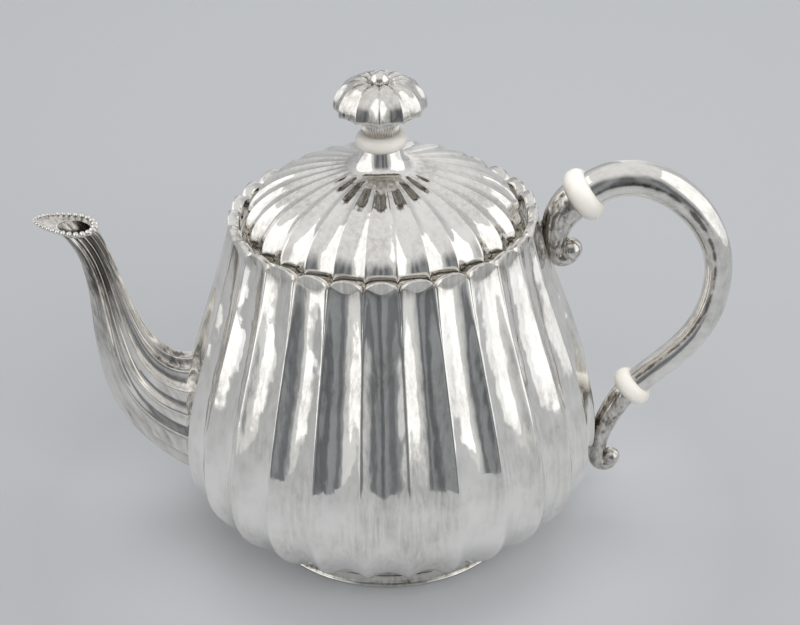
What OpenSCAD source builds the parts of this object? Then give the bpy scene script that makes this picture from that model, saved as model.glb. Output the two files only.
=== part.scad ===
// Fluted silver teapot with a lift-off lid.
// Millimetres, +Z up. The origin is the centre of the foot, on the table.
// The spout points to -X and the handle to +X.

/* [Body] */
// Height of the notches between the rim's arches
rim_h = 121.5; // [112:0.5:132]
// Radius of the ridges at the rim
rim_r = 53; // [50:0.5:57]
// Thickness of the rim, measured towards the axis
rim_t = 3.8; // [3:0.1:4.6]
// Rise of each arch above the notches
arch_h = 2.5; // [1.5:0.1:3.5]
// Rise of the arches at the rim's inner edge
inner_arch_h = 1; // [0.4:0.1:2]
// Length of the rounded head of each flute
head_h = 6.5; // [5:0.5:9]
// Largest radius of the ridges
belly_r = 74.1; // [70:0.5:79]
// Height of the widest ring
belly_h = 40; // [36:0.5:46]
// Number of flutes round the body and the lid
flutes = 28; // [24:4:32]
// Depth of a flute at the belly
flute_depth = 2.4; // [1.6:0.1:3]
// Thickness of the raised silver
wall = 1.1; // [0.9:0.1:1.4]

/* [Foot] */
// Height of the foot ring
foot_h = 4.5; // [3.5:0.1:6]
// Radius of the foot ring on the table
foot_r = 45.8; // [44:0.1:49]
// Width of the foot ring's section
foot_w = 3.6; // [3:0.1:4.5]
// Rise in the middle of the floor plate
floor_rise = 2; // [0.5:0.1:3]

/* [Lid] */
// Radius of the ridges at the lid's edge
lid_r = 47.3; // [46.5:0.1:48]
// How far the lid's edge lies below the rim's notches
lid_drop = 1.5; // [0.8:0.1:2]
// Height of the dome from its edge to the neck
dome_h = 21.3; // [18:0.1:24]
// Thickness of the dome
dome_wall = 1; // [0.8:0.1:1.3]
// Depth of a lid flute at the edge
lid_flute_depth = 1.5; // [0.8:0.1:2]
// Radius where the neck joins the dome
neck_base_r = 15; // [13:0.5:17]
// Height of the neck
neck_h = 6; // [5:0.1:8]
// Radius of the neck at the top
neck_r = 6.8; // [6:0.1:7.5]
// Thickness of the flange under the dome's edge
flange_t = 2; // [1.4:0.1:2.6]
// Outer radius of the flange's skirt
skirt_r = 42.4; // [41:0.1:43.2]
// Depth of the skirt below the flange
skirt_h = 7.5; // [5:0.5:10]
// Depth of the rim collar that the lid rests in
ledge_depth = 5; // [4:0.1:6]
// Radial play between the skirt and the rim collar
lid_play = 0.35; // [0.25:0.05:0.6]

/* [Knob] */
// Largest radius of the knob's white ring
ring_r = 8.5; // [8:0.1:9.5]
// Height of the knob's white ring
ring_h = 7.5; // [6:0.1:9]
// Radius of the ribbed collar over the ribs
collar_r = 6.3; // [5.6:0.1:6.8]
// Height of the ribbed collar
collar_h = 9; // [8:0.1:11]
// Number of ribs round the collar
collar_ribs = 44; // [24:2:48]
// Radius of the flower at its ridges
flower_r = 15.8; // [14:0.1:18]
// Height of the flower
flower_h = 9.4; // [8:0.1:11]
// Number of petals
petals = 12; // [8:1:14]
// Depth of a petal's hollow at its edge
petal_depth = 1.4; // [0.8:0.1:2.2]
// Radius of the bead on top
bead_r = 3.2; // [2.6:0.1:3.5]
// Radius of the bolt
bolt_r = 1.5; // [1.2:0.1:1.8]

/* [Spout] */
// Height of the spout's tube at the mouth
spout_h = 119.8; // [112:0.2:125]
// Distance from the axis to the middle of the mouth
spout_reach = 104.9; // [100:0.5:110]
// Length of the mouth opening along the spout
mouth_l = 14.1; // [12.5:0.1:16]
// Width of the mouth across the spout
mouth_w = 13.4; // [12:0.1:15]
// Width of the spout at its base
base_w = 25; // [21:0.5:29]
// Height where the spout leaves the body at the top
base_top = 70.3; // [66:0.1:75]
// Height where the spout leaves the body at the bottom
base_bottom = 23; // [20:0.1:27]
// Number of flutes round the spout
spout_flutes = 16; // [8:2:18]
// Depth of the spout's flutes
spout_flute_depth = 0.9; // [0.4:0.1:1.3]
// Thickness of the spout
spout_wall = 1; // [0.8:0.1:1.3]
// Length of the pouring lip past the tube
lip_l = 7.6; // [5:0.1:10]
// Thickness of the lip
lip_t = 1.2; // [0.9:0.1:1.6]
// Tilt of the lip towards its point
lip_tilt = 5; // [0:0.5:9]
// Number of beads round the lip
beads = 28; // [20:2:32]
// Radius of the strainer behind the spout
strainer_r = 9; // [7:0.5:10.5]
// Radius of a strainer hole
strainer_hole_r = 0.9; // [0.6:0.1:1.1]

/* [Handle] */
// Distance from the axis to the middle of the handle's side
handle_reach = 115.2; // [110:0.2:122]
// Height of the handle's outermost point
handle_mid_h = 99.5; // [94:0.5:104]
// Radius of the tube at the upper ring
handle_r1 = 6.2; // [5.8:0.1:6.8]
// Radius of the tube at the lower ring
handle_r2 = 4.8; // [4.4:0.1:5.2]
// Thickness of the handle tube
handle_wall = 1; // [0.8:0.1:1.2]
// Distance from the axis to the upper ring's centre
upper_x = 68; // [67:0.2:71]
// Height of the upper ring's centre above the rim's notches
upper_rise = 8.6; // [7:0.2:10]
// Angle of the upper ring's axis above level
upper_tilt = 34; // [30:1:38]
// Radius of the upper ring
upper_ring_r = 9.3; // [9:0.1:10]
// Thickness of the upper ring
upper_ring_t = 8; // [7:0.1:9]
// Distance from the axis to the lower ring's centre
lower_x = 87.2; // [86:0.2:89]
// Height of the lower ring's centre
lower_z = 53.7; // [52:0.1:56]
// Angle of the lower ring's axis above level
lower_tilt = 45; // [41:1:49]
// Radius of the lower ring
lower_ring_r = 7.3; // [7:0.1:8]
// Thickness of the lower ring
lower_ring_t = 6.6; // [5.8:0.1:7.4]
// Depth of the upper scroll's centre below the rim's notches
upper_scroll_drop = 12.3; // [11:0.1:14]
// Radius of the upper scroll's ball
upper_ball_r = 3.7; // [3.3:0.1:4]
// Height of the lower scroll's centre
lower_scroll_h = 23.6; // [22:0.2:26]
// Radius of the lower scroll's ball
lower_ball_r = 3.2; // [2.9:0.1:3.5]
// Radius of the handle pins
pin_r = 0.8; // [0.6:0.1:1]
// Length of each tenon on the rings
tenon_l = 5.5; // [4.5:0.1:6.5]

/* [Hidden] */
$fn = 64;

seam = 0.05;            // gap filled by solder or cement between joined pieces
seat_gap = 0.1;         // play between the lid's flange and its ledge
slots = 4;              // columns across one flute
pitch = 360 / flutes;
silver = "silver";
bone = "ivory";

// ---- curves ----
function bez(p, t) = pow(1 - t, 3) * p[0] + 3 * pow(1 - t, 2) * t * p[1]
    + 3 * (1 - t) * t * t * p[2] + pow(t, 3) * p[3];
function bez_dir(p, t) = (1 - t) * (1 - t) * (p[1] - p[0]) + 2 * (1 - t) * t * (p[2] - p[1])
    + t * t * (p[3] - p[2]);
function mix(a, b, t) = a + (b - a) * t;
function smooth(t) = let (c = min(1, max(0, t))) c * c * (3 - 2 * c);
function unit(v) = v / norm(v);
// Outward normal of a profile that runs downwards
function side(d) = unit([-d.y, d.x]);
// Hollow across one flute: 0 on the ridges, 1 in the middle
function hollow(u) = 1 - pow(2 * u - 1, 2);
// The rounder rise of the rim's arches
function arch(u) = pow(hollow(u), 0.8);

// ---- a closed skin over rings of points ----
// rings[i][j]: ring i, point j; loop joins the last ring to the first
module skin(rings, loop = false) {
    n = len(rings);
    m = len(rings[0]);
    points = [for (ring = rings) each ring];
    sides = [for (i = [0 : loop ? n - 1 : n - 2], j = [0 : m - 1])
        let (a = i * m + j, b = i * m + (j + 1) % m,
            c = ((i + 1) % n) * m + (j + 1) % m, d = ((i + 1) % n) * m + j)
        each [[a, b, c], [a, c, d]]];
    caps = loop ? [] : [[for (j = [m - 1 : -1 : 0]) j], [for (j = [0 : m - 1]) (n - 1) * m + j]];
    polyhedron(points, concat(sides, caps), convexity = 10);
}
// A ring of profile points turned round the axis, one per flute column
function turned(point, columns, repeats) = [for (j = [0 : columns - 1])
    let (a = (j * repeats / columns - 0.5) * 360 / repeats,
        u = (j * repeats / columns) % 1, p = point(u))
    [p.x * cos(a), p.x * sin(a), p.y]];

// ---- body profile, as radius and height ----
flank = [[rim_r, rim_h], [rim_r + 9.9, rim_h - 38.3], [belly_r, belly_h + 26.3],
    [belly_r, belly_h]];
base_edge = [foot_r - 1.3, foot_h];
under = [[belly_r, belly_h], [belly_r, belly_h - 19.2], base_edge + [14.5, 10.1], base_edge];
function profile(s) = s < 1 ? bez(flank, s) : bez(under, s - 1);
function profile_side(s) = side(s < 1 ? bez_dir(flank, s) : bez_dir(under, s - 1));
function s_at(z, a = 0, b = 2, n = 16) = n == 0 ? (a + b) / 2
    : let (m = (a + b) / 2) profile(m).y > z ? s_at(z, m, b, n - 1) : s_at(z, a, m, n - 1);
function radius_at(z) = profile(s_at(z)).x;
// Radius in the middle of a flute
function valley_at(z) = let (s = s_at(z)) profile(s).x - flute_depth * profile(s).x / belly_r;

head_s = s_at(rim_h - (head_h - arch_h));
arch_s = s_at(rim_h - 22);
inner_r = rim_r - rim_t;
bore_h = 9;             // depth of the plain bore inside the rim
function body_depth(s) = flute_depth * profile(s).x / belly_r
    * sqrt(1 - pow(1 - min(1, s / head_s), 2)) * smooth((2 - s) / 0.12);
function body_point(u, s, in = 0) = profile(s)
    - profile_side(s) * (body_depth(s) * hollow(u) + in)
    + [0, arch_h * arch(u) * max(0, 1 - s / arch_s)];
outer_rows = concat([0, 0.22 * head_s, 0.6 * head_s, head_s], [for (i = [0 : 4]) 0.12 + i * 0.18],
    [for (i = [0 : 7]) 1 + i * 0.132], [2]);
inner_rows = concat([for (i = [0 : 2]) 1.94 - i * 0.33], [for (i = [0 : 2]) 0.94 - i * 0.34]);

module body_shell() {
    columns = flutes * slots;
    rings = concat(
        [for (s = outer_rows) turned(function(u) body_point(u, s), columns, flutes)],
        [turned(function(u) base_edge - [1.3, 0], columns, flutes)],
        [for (s = inner_rows) turned(function(u) body_point(u, s, wall), columns, flutes)],
        [turned(function(u) [inner_r, rim_h - bore_h], columns, flutes)],
        [turned(function(u) [inner_r, rim_h + inner_arch_h * arch(u)], columns, flutes)]);
    color(silver) difference() {
        skin(rings, true);
        translate([-valley_at(strainer_z) - 8, 0, strainer_z]) rotate([0, 90, 0])
            cylinder(r = strainer_r, h = 16);
    }
}

// The body's outer form between two columns, used to scribe what is soldered to it
module body_form(j0, j1) {
    grid = [for (i = [1 : len(outer_rows) - 1]) let (s = outer_rows[i])
        concat([[0, 0, profile(s).y]],
            [for (j = [j0 : j1])
                let (a = (j / slots - 0.5) * pitch, u = ((j % slots) + slots) % slots / slots,
                    p = body_point(u, s, -seam))
                [p.x * cos(a), p.x * sin(a), p.y]])];
    skin(grid);
}

// ---- foot and floor ----
module foot_ring() {
    top = foot_h - seam;
    color(silver) rotate_extrude($fn = 96)
        polygon([[foot_r - foot_w, 0], [foot_r, 0], [foot_r, 1.1], [foot_r - 0.9, 2.2],
            [foot_r - 0.9, top], [foot_r - foot_w - 0.4, top], [foot_r - foot_w - 0.4, top - 1.4]]);
}

module base_plate() {
    edge = base_edge.x - 1.3 - seam;
    color(silver) rotate_extrude($fn = 96)
        polygon([[0, foot_h + floor_rise], [edge * 0.55, foot_h + floor_rise * 0.7],
            [edge - 4, foot_h], [edge, foot_h], [edge, foot_h + wall],
            [edge - 4, foot_h + wall], [edge * 0.55, foot_h + floor_rise * 0.7 + wall],
            [0, foot_h + floor_rise + wall]]);
}

// ---- rim collar that the lid rests in ----
ledge_h = rim_h - lid_drop - flange_t - seam - seat_gap;
collar_bore = skirt_r + lid_play;
module rim_collar() {
    out = inner_r - seam;
    color(silver) rotate_extrude($fn = 96)
        polygon([[collar_bore, ledge_h - ledge_depth], [collar_bore + wall, ledge_h - ledge_depth],
            [collar_bore + wall, ledge_h - wall], [out - wall, ledge_h - wall],
            [out - wall, ledge_h - ledge_depth], [out, ledge_h - ledge_depth],
            [out, ledge_h], [collar_bore, ledge_h]]);
}

// ---- spout ----
mouth = [-spout_reach, spout_h];
mouth_end = mouth_l / 2 * [cos(lip_tilt), -sin(lip_tilt)];
spout_top = [mouth + mouth_end, mouth + mouth_end + [7.9, -9],
    [-radius_at(base_top) - 20, base_top - 5.7], [-radius_at(base_top) + 1.3, base_top]];
spout_low = [mouth - mouth_end, mouth - mouth_end + [22.7, -21.5],
    [-radius_at(base_bottom) - 53, base_bottom + 32.4],
    [-radius_at(base_bottom) - 4.6, base_bottom]];
spout_sides = spout_flutes * 2;
function spout_mid(t) = (bez(spout_top, t) + bez(spout_low, pow(t, 1.35))) / 2;
function spout_half(t) = (bez(spout_top, t) - bez(spout_low, pow(t, 1.35))) / 2;
// Half width across the spout: a slim neck that swells to the base
function spout_width(t) = mix(mix(mouth_w, mouth_w - 1.4, smooth(t / 0.25)), base_w,
    smooth((t - 0.2) / 0.8)) / 2;
function spout_ring(t, in, push = 0) = let (c = spout_mid(t), h = spout_half(t), w = spout_width(t))
    [for (k = [0 : spout_sides - 1])
        let (a = k * 360 / spout_sides, cut = (k % 2) * spout_flute_depth * (in > 0 ? 0.6 : 1) + in,
            p = c + unit(h) * (norm(h) - cut) * cos(a))
        [p.x + push, (w - cut) * sin(a), p.y]];
module spout_tube() {
    steps = 13;
    rings = concat(
        [for (i = [0 : steps]) spout_ring(i / steps, 0)],
        [spout_ring(1, 0, 16), spout_ring(1, spout_wall, 16)],
        [for (i = [steps : -1 : 0]) spout_ring(i / steps, spout_wall)]);
    half = flutes / 2 * slots + slots / 2;
    color(silver) difference() {
        skin(rings, true);
        body_form(half - 6, half + 6);
    }
}

// The lip is a leaf-shaped plate with a border of beads, open over the tube
bead_size = 0.95;
border = 1;             // width of the plate outside the beads' centres
lip_left = mouth_l / 2 + lip_l - border;
lip_right = mouth_l / 2 - 0.2;
lip_half = mouth_w / 2 + 0.2;
function leaf(a, x1, x2, w) = [cos(a) < 0 ? x1 * cos(a) : x2 * cos(a),
    w * sin(a) * (cos(a) < 0 ? 1 - 0.2 * pow(cos(a), 2) : 1)];
lip_edge = [for (i = [0 : 180]) leaf(i * 2, lip_left, lip_right, lip_half)];
lip_run = [for (i = 0, l = 0; i <= 180; l = l + norm(lip_edge[min(180, i + 1)] - lip_edge[i]),
    i = i + 1) l];
// The point of the edge at a distance along it
function on_edge(l) = lip_edge[len([for (run = lip_run) if (run < l + 0.001) run]) - 1];

module spout_lip() {
    opening = mouth_l / 2 - spout_wall;
    color(silver) translate([mouth.x, 0, mouth.y]) rotate([0, lip_tilt, 0])
        translate([0, 0, seam]) {
            difference() {
                linear_extrude(lip_t) polygon([for (i = [0 : 35])
                    leaf(i * 10, lip_left + border, lip_right + border, lip_half + border)]);
                translate([0, 0, -1]) linear_extrude(lip_t + 2) polygon([for (i = [0 : 23])
                    leaf(i * 15, opening, opening - 0.6, mouth_w / 2 - spout_wall - 0.3)]);
            }
            for (i = [0 : beads - 1]) {
                p = on_edge(i * lip_run[180] / beads);
                size = bead_size * mix(1, 0.7, smooth((lip_right - p.x) / (lip_left + lip_right)));
                translate([p.x, p.y, lip_t + 0.1]) sphere(r = size, $fn = 32);
            }
        }
}

strainer_z = 47;
module spout_strainer() {
    color(silver) translate([-valley_at(strainer_z), 0, strainer_z]) rotate([0, 90, 0])
        difference() {
            cylinder(r = strainer_r - seam, h = wall);
            for (ring = [0 : 2], k = [0 : max(0, ring * 6 - 1)])
                rotate(k * 360 / max(1, ring * 6)) translate([ring * strainer_r * 0.32, 0, -1])
                    cylinder(r = strainer_hole_r, h = wall + 2, $fn = 24);
        }
}

// ---- handle ----
function lean(tilt) = [cos(tilt), sin(tilt)];
upper_at = [upper_x, rim_h + upper_rise];
lower_at = [lower_x, lower_z];
loop_start = upper_at + lean(upper_tilt) * (upper_ring_t / 2 + seam);
loop_end = lower_at + lean(lower_tilt) * (lower_ring_t / 2 + seam);
loop_side = [handle_reach, handle_mid_h];
loop_top = [loop_start, loop_start + lean(upper_tilt) * 22, loop_side + [0, 23.4], loop_side];
loop_low = [loop_side, loop_side - [0, 25], loop_end + lean(lower_tilt) * 13.7, loop_end];
function loop_at(s) = s < 1 ? bez(loop_top, s) : bez(loop_low, s - 1);
function loop_dir(s) = unit(s < 1 ? bez_dir(loop_top, s) : bez_dir(loop_low, s - 1));
function loop_r(s) = mix(handle_r1, handle_r2, smooth((s - 0.3) / 0.75));
// A round section across a path that lies in the XZ plane
function section(c, d, r, sides) = [for (k = [0 : sides - 1])
    let (a = k * 360 / sides, p = c + [-d.y, d.x] * r * cos(a)) [p.x, r * sin(a), p.y]];
tenon_r1 = handle_r1 - handle_wall - 1.1;   // clears the tube, which bends over the tenon
tenon_r2 = handle_r2 - handle_wall - 0.6;

// A pin hole across the handle, at a distance along a ring's axis
module pin_across(at, tilt, along, r, l) {
    p = at + lean(tilt) * along;
    translate([p.x, 0, p.y]) rotate([90, 0, 0]) cylinder(r = r, h = l, center = true, $fn = 24);
}

module handle_loop() {
    steps = 20;
    rows = [for (i = [0 : steps]) 2 * i / steps];
    back = [for (i = [steps : -1 : 0]) 2 * i / steps];
    rings = concat([for (s = rows) section(loop_at(s), loop_dir(s), loop_r(s), 16)],
        [for (s = back) section(loop_at(s), loop_dir(s), loop_r(s) - handle_wall, 16)]);
    color(silver) difference() {
        skin(rings, true);
        pin_across(upper_at, upper_tilt, upper_ring_t / 2 + tenon_l / 2, pin_r + seam, 20);
        pin_across(lower_at, lower_tilt, lower_ring_t / 2 + tenon_l / 2, pin_r + seam, 20);
    }
}

// A white ring with a rounded edge and a tenon on each side
module insulator(at, tilt, r, t, face_r, tenon_r) {
    color(bone) difference() {
        translate([at.x, 0, at.y]) rotate([0, 90 - tilt, 0]) {
            rotate_extrude() polygon(concat([[0, -t / 2]],
                [for (i = [0 : 12]) let (a = -90 + i * 15)
                    [face_r + (r - face_r) * cos(a), t / 2 * sin(a)]], [[0, t / 2]]));
            cylinder(r = tenon_r, h = t + 2 * tenon_l, center = true);
        }
        for (way = [-1, 1])
            pin_across(at, tilt, way * (t / 2 + tenon_l / 2), pin_r + seam, 30);
    }
}
module upper_insulator() {
    insulator(upper_at, upper_tilt, upper_ring_r, upper_ring_t, handle_r1, tenon_r1);
}
module lower_insulator() {
    insulator(lower_at, lower_tilt, lower_ring_r, lower_ring_t, handle_r2, tenon_r2);
}

module upper_pins() {
    color(silver) for (way = [-1, 1])
        pin_across(upper_at, upper_tilt, way * (upper_ring_t / 2 + tenon_l / 2), pin_r,
            2 * handle_r1 - 0.2);
}
module lower_pins() {
    color(silver) for (way = [-1, 1])
        pin_across(lower_at, lower_tilt, way * (lower_ring_t / 2 + tenon_l / 2), pin_r,
            2 * min(handle_r2, lower_arm_r) - 0.2);
}

// A socket arm runs from its ring down to the body and rolls up into a ball.
// turn is the scroll's centre; the pad behind the arm is soldered into a flute.
lower_arm_r = 4.2;
module socket(at, tilt, ring_t, tenon_r, arm_r, end_r, turn, turn_r, ball_r, bend, pad) {
    start = at - lean(tilt) * (ring_t / 2 + seam);
    left = turn - [turn_r, 0];
    ball = turn + [turn_r * 0.85, 0.2];
    arm = [start, start - lean(tilt + 10) * bend, left + [-0.7, bend * 1.4], left];
    steps = 10;
    roll = 6;
    sides = 14;
    rings = concat(
        [for (i = [0 : steps]) let (t = i / steps)
            section(bez(arm, t), i == 0 ? -lean(tilt) : unit(bez_dir(arm, t)),
                mix(arm_r, end_r, pow(t, 1.6)), sides)],
        [for (i = [1 : roll]) let (t = i / roll, a = 180 + 150 * t)
            section(turn + turn_r * [cos(a), sin(a)], [-sin(a), cos(a)],
                mix(end_r, end_r * 0.9, t), sides)]);
    reach = valley_at(turn.y) - 6;
    color(silver) difference() {
        union() {
            skin(rings);
            translate([ball.x, 0, ball.y]) sphere(r = ball_r, $fn = 32);
            translate([reach, 0, turn.y]) rotate([90, 0, 90])
                linear_extrude(left.x - reach) {
                    translate([0, pad.x]) circle(d = pad.z, $fn = 32);
                    translate([0, pad.y]) circle(d = pad.z, $fn = 32);
                    translate([-pad.z / 2, pad.x]) square([pad.z, pad.y - pad.x]);
                }
        }
        translate([start.x, 0, start.y]) rotate([0, -90 - tilt, 0])
            translate([0, 0, -1]) cylinder(r = tenon_r + 0.1, h = tenon_l + 1.3);
        pin_across(at, tilt, -(ring_t / 2 + tenon_l / 2), pin_r + seam, 30);
        body_form(0, slots);
    }
}
module upper_socket() {
    z = rim_h - upper_scroll_drop;
    socket(upper_at, upper_tilt, upper_ring_t, tenon_r1, handle_r1 + 0.3, 3.2,
        [radius_at(z) + 5.3, z], 3.5, upper_ball_r, 6.3, [2, 9, 4]);
}
module lower_socket() {
    z = lower_scroll_h;
    socket(lower_at, lower_tilt, lower_ring_t, tenon_r2, lower_arm_r, 2.4,
        [radius_at(z) + 9.6, z], 2.9, lower_ball_r, 8, [4, 14, 3.6]);
}

// ---- lid ----
edge_h = rim_h - lid_drop;
neck_foot_h = edge_h + dome_h;
dome = [[neck_base_r, neck_foot_h], [neck_base_r + 17, neck_foot_h - 2],
    [lid_r, edge_h + dome_h * 0.6], [lid_r, edge_h]];
function lid_depth(t) = lid_flute_depth * smooth((t + 0.02) / 0.5);
function dome_point(u, t, in = 0) = let (d = bez_dir(dome, t), n = unit([-d.y, d.x]))
    bez(dome, t) - n * (lid_depth(t) * hollow(u) + in);
module lid_dome() {
    columns = flutes * slots;
    rows = [for (i = [0 : 7]) 1 - pow(1 - i / 7, 1.15)];
    under_rows = [for (i = [0 : 3]) 1 - i / 3];
    color(silver) skin(concat(
        [for (t = rows) turned(function(u) dome_point(u, t), columns, flutes)],
        [for (t = under_rows) turned(function(u) let (p = dome_point(u, t, dome_wall))
            t > 0 && t < 1 ? p : t == 1 ? [p.x, edge_h] : [neck_base_r, p.y], columns, flutes)]),
        true);
}

module lid_flange() {
    low = edge_h - seam - flange_t;
    color(silver) rotate_extrude($fn = 96)
        polygon([[skirt_r - 1.1, low - skirt_h], [skirt_r, low - skirt_h], [skirt_r, low],
            [lid_r - 0.6, low], [lid_r - 0.6, edge_h - seam], [skirt_r - 1.1, edge_h - seam]]);
}

neck_top = neck_foot_h + neck_h;
neck_curve = [[neck_base_r - seam, neck_foot_h], [neck_r + 3.4, neck_foot_h + 0.9],
    [neck_r + 0.6, neck_top - 3.5], [neck_r, neck_top]];
module lid_neck() {
    out = [for (i = [0 : 8]) bez(neck_curve, i / 8)];
    in = [for (i = [6 : -1 : 0]) bez(neck_curve, i / 8) - [0.75, 0.75] * dome_wall];
    color(silver) rotate_extrude()
        polygon(concat(out, [[bolt_r + seam, neck_top], [bolt_r + seam, neck_top - 1.2]],
            [[in[0].x, neck_top - 1.2]], in, [[neck_base_r - seam, neck_foot_h - dome_wall]]));
}

ring_low = neck_top + seam;
module knob_insulator() {
    face = neck_r - 0.2;
    color(bone) rotate_extrude() difference() {
        polygon(concat([[0, ring_low]], [for (i = [0 : 12]) let (a = -90 + i * 15)
            [face + (ring_r - face) * pow(cos(a), 0.8), ring_low + ring_h / 2 * (1 + sin(a))]],
            [[0, ring_low + ring_h]]));
        translate([0, ring_low - 1]) square([bolt_r + seam, ring_h + 2]);
    }
}

collar_low = ring_low + ring_h + seam;
module knob_collar() {
    tips = collar_ribs * 2;
    color(silver) translate([0, 0, collar_low]) difference() {
        linear_extrude(collar_h) polygon([for (i = [0 : tips - 1])
            let (r = collar_r - (i % 2) * 0.3) r * [cos(i * 360 / tips), sin(i * 360 / tips)]]);
        translate([0, 0, -1]) cylinder(r = bolt_r + seam, h = collar_h + 2);
    }
}

// The flower is a hollow umbrella of petals on a hub
hub_low = collar_low + collar_h + seam;
flower_low = hub_low - 1;
flower_top = flower_low + flower_h;
seat_low = flower_top - 2;  // the bead's seat on the hub
flower = [[bead_r + 0.3, flower_top - 1.5], [flower_r * 0.44, flower_top + 2.2],
    [flower_r + 0.5, flower_low + 6.5], [flower_r - 0.3, flower_low]];
function petal_point(u, t, in = 0) = let (d = bez_dir(flower, t), n = unit([-d.y, d.x]))
    bez(flower, t) - n * (petal_depth * hollow(u) * smooth(t / 0.7) + in);
module knob_flower() {
    columns = petals * 4;
    core = flower[0].x;
    color(silver) rotate(180 / petals) union() {
        skin(concat(
            [for (i = [0 : 6]) turned(function(u) petal_point(u, i / 6), columns, petals)],
            [for (i = [4 : -1 : 1]) turned(function(u) petal_point(u, i / 4 - 0.01, 0.9),
                columns, petals)],
            [turned(function(u) [core, flower_top - 2.7], columns, petals)]), true);
        difference() {
            translate([0, 0, hub_low]) cylinder(r = collar_r - 0.6, h = seat_low - hub_low);
            translate([0, 0, hub_low - 1]) cylinder(r = bolt_r + seam, h = flower_h + 2);
        }
    }
}

bead_h = flower_top + 0.2;
module knob_bead() {
    color(silver) difference() {
        translate([0, 0, bead_h]) sphere(r = bead_r);
        translate([0, 0, seat_low - 10]) cylinder(r = 2 * bead_r, h = 10 + seam);
        translate([0, 0, bead_h - bead_r - 1]) cylinder(r = bolt_r + seam, h = bead_r + 1.5);
    }
}

nut_h = 2.4;
washer_h = 0.5;
plate_low = neck_top - 1.2;
module knob_bolt() {
    low = plate_low - washer_h - nut_h - 1.2;
    color("gainsboro") translate([0, 0, low]) cylinder(r = bolt_r, h = bead_h + 0.2 - low);
}
module knob_washer() {
    color("gainsboro") translate([0, 0, plate_low - washer_h - seam]) difference() {
        cylinder(r = neck_r - 1.9, h = washer_h);
        translate([0, 0, -1]) cylinder(r = bolt_r + seam, h = washer_h + 2);
    }
}
module knob_nut() {
    color("gainsboro") translate([0, 0, plate_low - washer_h - nut_h - 2 * seam]) difference() {
        cylinder(r = bolt_r * 2, h = nut_h, $fn = 6);
        translate([0, 0, -1]) cylinder(r = bolt_r + seam, h = nut_h + 2);
    }
}

body_shell();
base_plate();
foot_ring();
rim_collar();
spout_tube();
spout_lip();
spout_strainer();
upper_socket();
lower_socket();
upper_insulator();
lower_insulator();
handle_loop();
upper_pins();
lower_pins();
lid_dome();
lid_flange();
lid_neck();
knob_insulator();
knob_collar();
knob_flower();
knob_bead();
knob_bolt();
knob_washer();
knob_nut();
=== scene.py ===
"""Fluted silver teapot: high-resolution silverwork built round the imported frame."""

import bpy
import numpy as np
from bpy.props import FloatProperty, FloatVectorProperty, IntProperty, PointerProperty
from mathutils import Matrix, Vector


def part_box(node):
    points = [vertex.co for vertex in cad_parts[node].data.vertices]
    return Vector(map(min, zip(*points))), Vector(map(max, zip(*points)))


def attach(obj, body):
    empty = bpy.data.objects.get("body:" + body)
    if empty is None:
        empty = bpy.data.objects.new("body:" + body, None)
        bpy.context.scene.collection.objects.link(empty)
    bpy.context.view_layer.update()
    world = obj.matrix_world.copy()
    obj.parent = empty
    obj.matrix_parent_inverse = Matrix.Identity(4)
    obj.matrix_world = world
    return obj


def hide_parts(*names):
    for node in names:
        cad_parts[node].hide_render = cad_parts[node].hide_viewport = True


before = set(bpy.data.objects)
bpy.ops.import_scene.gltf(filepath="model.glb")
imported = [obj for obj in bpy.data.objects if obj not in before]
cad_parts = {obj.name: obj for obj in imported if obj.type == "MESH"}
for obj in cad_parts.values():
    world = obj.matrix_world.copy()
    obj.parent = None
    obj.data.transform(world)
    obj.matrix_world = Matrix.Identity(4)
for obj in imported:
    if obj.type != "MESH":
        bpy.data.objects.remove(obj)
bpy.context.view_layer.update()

bl_info = {
    "name": "Fluted Teapot",
    "version": (1, 0, 0),
    "blender": (4, 5, 0),
    "location": "View3D > Sidebar > Teapot",
    "description": "Builds a fluted silver teapot with a lift-off lid round its packed frame",
    "category": "Add Mesh",
}

POT, LID = "pot", "lid"
SEAM = 0.00005          # gap between joined pieces
KNOB_BORE = 0.0016      # radius of the hole for the knob's bolt

# How each kind of silver is worked: the lengths of its streaks, its wear and its haze.
SILVERS = {
    "raised": {},
    "cast": {"along": (1, 1, 2), "wear": 0.9, "dull": 0.01, "veil": 0.5},
    "drawn": {"along": (3, 1, 3), "wear": 0.8},
    "spout": {"along": (1, 1, 12), "turn": np.radians(-22), "dull": 0.06},
}


# -------- sizes and colours

def setting(kind, **fixed):
    """One kind of property; each one then has its name, its description and its default."""
    return lambda name, words, value: kind(name=name, description=words, default=value, **fixed)


length = setting(FloatProperty, precision=5, subtype="DISTANCE", unit="LENGTH")
slope = setting(FloatProperty, subtype="ANGLE", unit="ROTATION")
number = setting(IntProperty, min=1)
amount = setting(FloatProperty, min=0.0, precision=3)
colour = setting(FloatVectorProperty, size=3, min=0.0, max=1.0, subtype="COLOR")


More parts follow.
